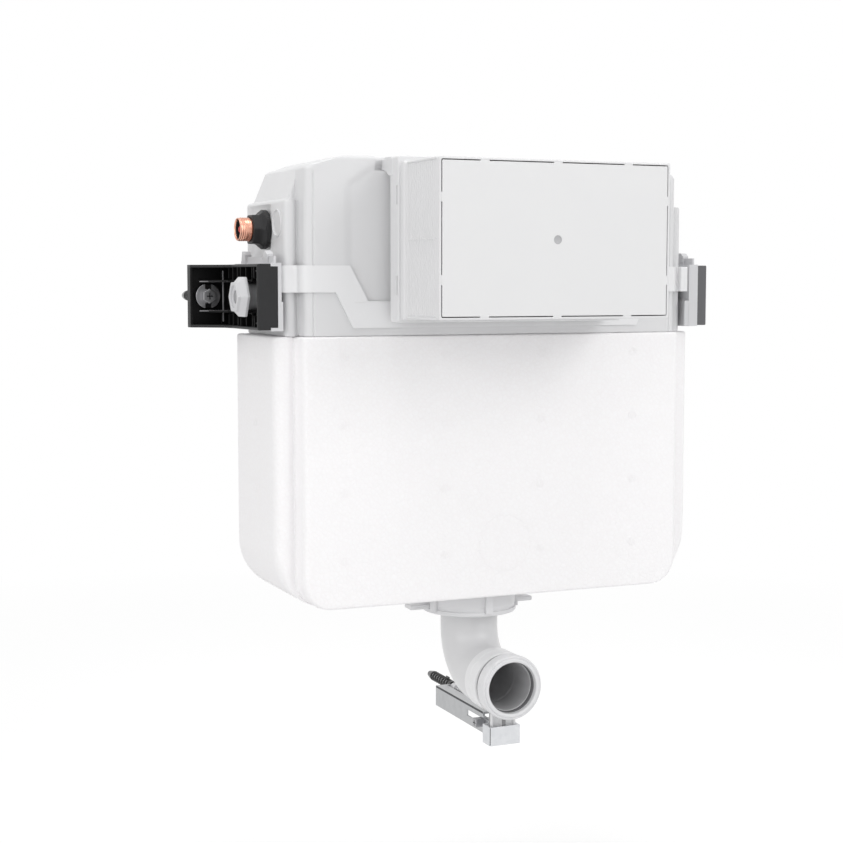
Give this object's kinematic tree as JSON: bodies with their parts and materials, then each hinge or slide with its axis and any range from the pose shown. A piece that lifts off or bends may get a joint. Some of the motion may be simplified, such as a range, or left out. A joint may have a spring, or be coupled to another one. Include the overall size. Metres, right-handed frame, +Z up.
{
  "type": "concealed toilet cistern",
  "caption": "Concealed front-operated toilet cistern in a foam jacket, with wall brackets, valves, access box and flush bend.",
  "frame": {"origin": "midway between the two wall fixings, on the wall's face", "axes": "+X to the right seen from the front, +Y towards the wall, +Z up"},
  "size_m": [0.511, 0.317, 0.5351],
  "materials": {
    "tank": "blow-moulded polyethylene, satin with a fine grain",
    "foam": "expanded polystyrene, matt, with visible beads",
    "holder": "moulded plastic, satin",
    "black_plastic": "glass-filled plastic, matt black",
    "box": "thin moulded plastic, satin",
    "cover": "thin moulded plastic, satin",
    "zinc_steel": "zinc-plated sheet and fasteners",
    "plug": "ribbed nylon",
    "copper_brass": "threaded red brass, bright",
    "brass": "machined brass",
    "black_rubber": "moulded rubber",
    "grey_rubber": "moulded rubber lip seal",
    "strainer": "moulded plastic",
    "blue_plastic": "moulded plastic",
    "green_plastic": "moulded plastic",
    "valve_white": "moulded plastic, slightly glossy",
    "hose": "braided hose",
    "pipe": "moulded pipe, slightly glossy"
  },
  "bodies": {
    "wall_set": {"left_bracket": "black_plastic", "right_bracket": "black_plastic", "wall_screws": "zinc_steel", "wall_washers": "zinc_steel", "wall_plugs": "plug", "wall_arm": "zinc_steel", "arm_screw": "zinc_steel", "arm_spacer": "valve_white", "arm_plug": "plug"},
    "cistern": {"tank_shell": "tank", "insulation_jacket": "foam", "carrier_strap": "tank", "left_holder": "holder", "right_holder": "holder", "lock_collars": "black_plastic", "access_box": "box", "inlet_nipple": "copper_brass", "inlet_lock_nut": "black_plastic", "inlet_gasket": "black_rubber", "inlet_strainer": "strainer", "blanking_plugs": "tank", "stop_valve_body": "brass", "hose_nuts": "zinc_steel", "supply_hose": "hose", "fill_valve_body": "valve_white", "fill_lever_pin": "zinc_steel", "valve_bridge": "valve_white", "lever_pin": "zinc_steel", "valve_cage": "valve_white", "valve_seat": "valve_white", "seat_gasket": "black_rubber", "outlet_lock_nut": "pipe", "bend_seal": "black_rubber", "flush_bend": "pipe", "socket_seal": "grey_rubber", "socket_ring": "pipe", "foot_clip": "zinc_steel", "clip_bolt": "zinc_steel", "clip_nut": "zinc_steel"},
    "left_lock_nut": {"left_lock_nut": "holder"},
    "right_lock_nut": {"right_lock_nut": "holder"},
    "access_cover": {"access_cover": "cover"},
    "stop_valve_knob": {"stop_valve_knob": "blue_plastic"},
    "float": {"fill_float": "valve_white", "float_rod": "black_plastic"},
    "fill_lever": {"fill_valve_lever": "blue_plastic"},
    "flush_plunger": {"overflow_tube": "valve_white", "flush_seal": "black_rubber", "lift_head": "blue_plastic"},
    "full_lever": {"full_flush_lever": "blue_plastic"},
    "half_plunger": {"half_flush_rod": "green_plastic", "half_flush_float": "valve_white"},
    "half_lever": {"half_flush_lever": "green_plastic"}
  },
  "joints": [
    {"name": "depth_slide", "type": "slide", "parent": "wall_set", "child": "cistern", "axis": [0, -1, 0], "range_m": [0, 0.014]},
    {"name": "left_nut_turn", "type": "hinge", "parent": "cistern", "child": "left_lock_nut", "pos_m": [-0.2333, -0.088, 0], "axis": [-1, 0, 0], "continuous": true},
    {"name": "right_nut_turn", "type": "hinge", "parent": "cistern", "child": "right_lock_nut", "pos_m": [0.2333, -0.088, 0], "axis": [1, 0, 0], "continuous": true},
    {"name": "cover_pull", "type": "slide", "parent": "cistern", "child": "access_cover", "axis": [0, -1, 0], "range_m": [0, 0.06]},
    {"name": "stop_knob_turn", "type": "hinge", "parent": "cistern", "child": "stop_valve_knob", "pos_m": [-0.1749, -0.095, 0.0597], "axis": [0, -1, 0], "range_deg": [0, 720]},
    {"name": "float_rise", "type": "slide", "parent": "cistern", "child": "float", "axis": [0, 0, 1], "range_m": [0, 0.008]},
    {"name": "fill_lever_turn", "type": "hinge", "parent": "cistern", "child": "fill_lever", "pos_m": [-0.064, -0.062, 0.0711], "axis": [1, 0, 0], "range_deg": [-19.15, 0]},
    {"name": "flush_lift", "type": "slide", "parent": "cistern", "child": "flush_plunger", "axis": [0, 0, 1], "range_m": [0, 0.012]},
    {"name": "full_lever_turn", "type": "hinge", "parent": "cistern", "child": "full_lever", "pos_m": [-0.011, -0.104, 0.08], "axis": [1, 0, 0], "range_deg": [0, 19.65]},
    {"name": "half_lift", "type": "slide", "parent": "cistern", "child": "half_plunger", "axis": [0, 0, 1], "range_m": [0, 0.012]},
    {"name": "half_lever_turn", "type": "hinge", "parent": "cistern", "child": "half_lever", "pos_m": [0.024, -0.104, 0.08], "axis": [1, 0, 0], "range_deg": [0, 19.65]}
  ],
  "couplings": [
    {"joint": "fill_lever_turn", "follows": "float_rise", "rad_per_m": -41.67},
    {"joint": "full_lever_turn", "follows": "flush_lift", "rad_per_m": 28.5},
    {"joint": "half_lever_turn", "follows": "half_lift", "rad_per_m": 28.5}
  ]
}
